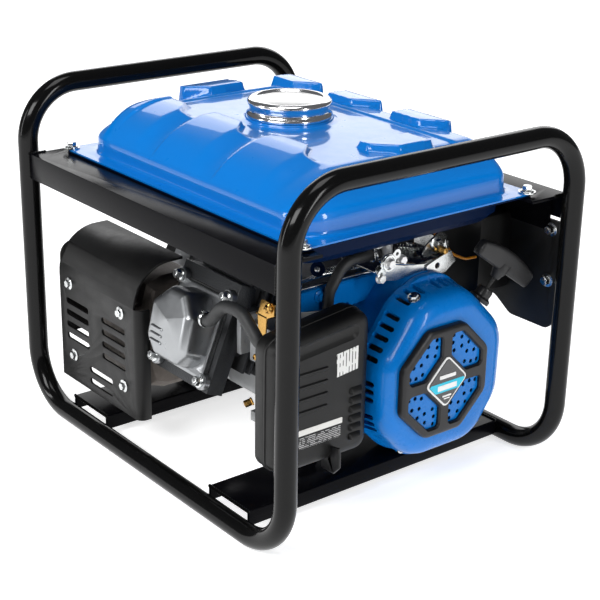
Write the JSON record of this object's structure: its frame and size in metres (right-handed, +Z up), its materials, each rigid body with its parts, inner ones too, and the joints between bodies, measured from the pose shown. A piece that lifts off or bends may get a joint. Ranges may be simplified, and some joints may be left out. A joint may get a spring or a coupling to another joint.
{
  "type": "portable generator",
  "caption": "Open-frame portable petrol generator with a blue steel tank, inclined single-cylinder engine, recoil starter and an alternator in a black tube frame",
  "frame": {"origin": "on the floor below the centre of the tube frame", "axes": "+X along the crankshaft towards the recoil starter, -Y towards the valve cover, +Y towards the control panel, +Z up"},
  "size_m": [0.486, 0.387, 0.382],
  "materials": {
    "gloss_black_paint": "gloss",
    "satin_black_paint": "satin",
    "blue_paint": "gloss",
    "cast_aluminium": "satin",
    "dark_casting": "matte",
    "steel": "satin",
    "exhaust_steel": "matte",
    "zinc_plate": "gloss",
    "chrome": "gloss",
    "copper": "satin",
    "black_plastic": "satin",
    "grey_plastic": "satin",
    "white_plastic": "gloss",
    "red_plastic": "gloss",
    "rubber": "matte",
    "rope": "matte",
    "foam": "matte"
  },
  "bodies": {
    "root": {"starter_end_hoop": "gloss_black_paint", "alternator_end_hoop": "gloss_black_paint", "valve_side_rail": "gloss_black_paint", "panel_side_rail": "gloss_black_paint", "rear_tank_crossbar": "gloss_black_paint", "starter_cross_channel": "gloss_black_paint", "alternator_cross_channel": "gloss_black_paint", "starter_rubber_mount_1": "rubber", "starter_rubber_mount_2": "rubber", "alternator_rubber_mount_1": "rubber", "alternator_rubber_mount_2": "rubber", "tank_upper_shell": "blue_paint", "tank_lower_shell": "blue_paint", "fuel_strainer": "white_plastic", "fuel_tap": "zinc_plate", "crankcase": "cast_aluminium", "crankcase_cover": "cast_aluminium", "cylinder_head": "dark_casting", "valve_cover": "cast_aluminium", "spark_plug": "white_plastic", "plug_cap": "rubber", "piston": "cast_aluminium", "alternator_front_bell": "cast_aluminium", "alternator_stator": "steel", "alternator_end_bell": "cast_aluminium", "alternator_end_cover": "satin_black_paint", "fan_shroud": "blue_paint", "starter_cover": "blue_paint", "starter_grille": "black_plastic", "rope_guide": "black_plastic", "carburettor": "cast_aluminium", "air_cleaner_base": "black_plastic", "air_cleaner_cover": "black_plastic", "air_filter_element": "foam", "fuel_hose": "rubber", "breather_hose": "rubber", "muffler": "exhaust_steel", "muffler_shield": "satin_black_paint", "control_bracket": "zinc_plate", "control_panel": "satin_black_paint", "panel_back_box": "satin_black_paint", "left_ac_outlet": "grey_plastic", "right_ac_outlet": "grey_plastic", "voltmeter": "black_plastic"},
    "crank": {"crankshaft": "steel", "flywheel": "cast_aluminium", "alternator_rotor": "copper"},
    "reel": {"starter_reel": "grey_plastic"},
    "pull_handle": {"starter_handle": "grey_plastic", "starter_rope": "rope"},
    "cap_seal": {"cap_gasket": "rubber"},
    "cap": {"fuel_cap": "chrome"},
    "tap_lever": {"fuel_tap_lever": "red_plastic"},
    "choke": {"choke_lever": "grey_plastic"},
    "throttle": {"throttle_lever": "zinc_plate"},
    "governor": {"governor_arm": "zinc_plate"},
    "rocker": {"engine_switch": "red_plastic"},
    "breaker": {"breaker_button": "red_plastic"},
    "dipstick": {"oil_dipstick": "grey_plastic"},
    "latch": {"air_cleaner_latch": "black_plastic"}
  },
  "joints": [
    {"name": "crank_spin", "type": "hinge", "parent": "root", "child": "crank", "pos_m": [0.015, 0.033, 0.13], "axis": [1, 0, 0], "continuous": true},
    {"name": "starter_pull", "type": "slide", "parent": "root", "child": "pull_handle", "axis": [0.8495, -0.4197, 0.3198], "range_m": [0, 0.45], "stiffness_N_per_m": 20, "springref_m": -0.3},
    {"name": "reel_spin", "type": "hinge", "parent": "root", "child": "reel", "pos_m": [0.1845, 0.033, 0.13], "axis": [1, 0, 0], "range_deg": [0, 660]},
    {"name": "cap_lift", "type": "slide", "parent": "root", "child": "cap_seal", "axis": [0, 0, 1], "range_m": [0, 0.06]},
    {"name": "cap_turn", "type": "hinge", "parent": "cap_seal", "child": "cap", "pos_m": [-0.015, 0.01, 0.37], "axis": [0, 0, 1], "range_deg": [0, 90]},
    {"name": "fuel_tap_turn", "type": "hinge", "parent": "root", "child": "tap_lever", "pos_m": [0.14, 0.0233, 0.251], "axis": [0, 1, 0], "range_deg": [0, 90]},
    {"name": "choke_turn", "type": "hinge", "parent": "root", "child": "choke", "pos_m": [0.1327, -0.1197, 0.1717], "axis": [0, 1, 0], "range_deg": [0, 60]},
    {"name": "throttle_turn", "type": "hinge", "parent": "root", "child": "throttle", "pos_m": [0.122, 0.064, 0.236], "axis": [0, 0, 1], "range_deg": [0, 30]},
    {"name": "governor_turn", "type": "hinge", "parent": "root", "child": "governor", "pos_m": [0.08, 0.002, 0.211], "axis": [0, 0, 1], "range_deg": [0, 20], "stiffness_Nm_per_rad": 0.02},
    {"name": "switch_rock", "type": "hinge", "parent": "root", "child": "rocker", "pos_m": [0.086, 0.184, 0.216], "axis": [1, 0, 0], "range_deg": [0, 16]},
    {"name": "breaker_press", "type": "slide", "parent": "root", "child": "breaker", "axis": [0, -1, 0], "range_m": [0, 0.003], "stiffness_N_per_m": 200},
    {"name": "dipstick_pull", "type": "slide", "parent": "root", "child": "dipstick", "axis": [0, 1, 0], "range_m": [0, 0.045]},
    {"name": "latch_turn", "type": "hinge", "parent": "root", "child": "latch", "pos_m": [0.171, -0.096, 0.048], "axis": [0, 1, 0], "range_deg": [0, 40]}
  ],
  "couplings": [
    {"joint": "reel_spin", "follows": "starter_pull", "rad_per_m": 25}
  ]
}
